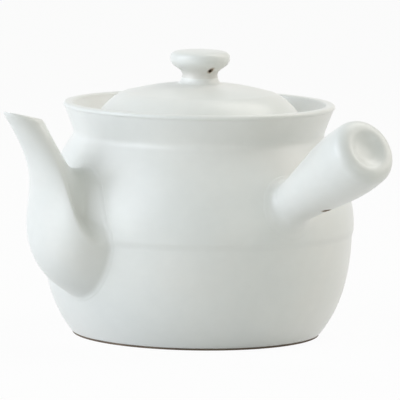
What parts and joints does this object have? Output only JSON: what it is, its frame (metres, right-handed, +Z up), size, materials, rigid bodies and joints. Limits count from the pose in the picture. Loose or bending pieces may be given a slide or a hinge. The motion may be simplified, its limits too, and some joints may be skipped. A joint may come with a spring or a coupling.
{
  "type": "herb simmering pot",
  "caption": "Side-handled glazed clay pot with a flared rim, curved spout, hollow stick handle a quarter turn from it, and a lift-off domed lid with a vented knob.",
  "frame": {"origin": "middle of the foot, on the plane that the pot stands on", "axes": "+Z up along the pot's axis, the spout points to -X and the handle to -Y"},
  "size_m": [0.2616, 0.2905, 0.1899],
  "materials": {
    "glaze": "satin white glaze",
    "bare_clay": "bare fired clay"
  },
  "bodies": {
    "pot": {"pot_bowl": "glaze", "pot_shoulder": "glaze", "pot_neck": "glaze", "lid_seat": "glaze", "foot_ring": "bare_clay", "spout": "glaze", "spout_fillet_ring": "glaze", "handle": "glaze", "handle_fillet_ring": "glaze"},
    "lid": {"lid_dome": "glaze", "lid_ring": "bare_clay", "lid_knob": "glaze", "knob_fillet_ring": "glaze"}
  },
  "joints": [
    {"name": "lid_lift", "type": "slide", "parent": "pot", "child": "lid", "axis": [0, 0, 1], "range_m": [0, 0.12]}
  ]
}
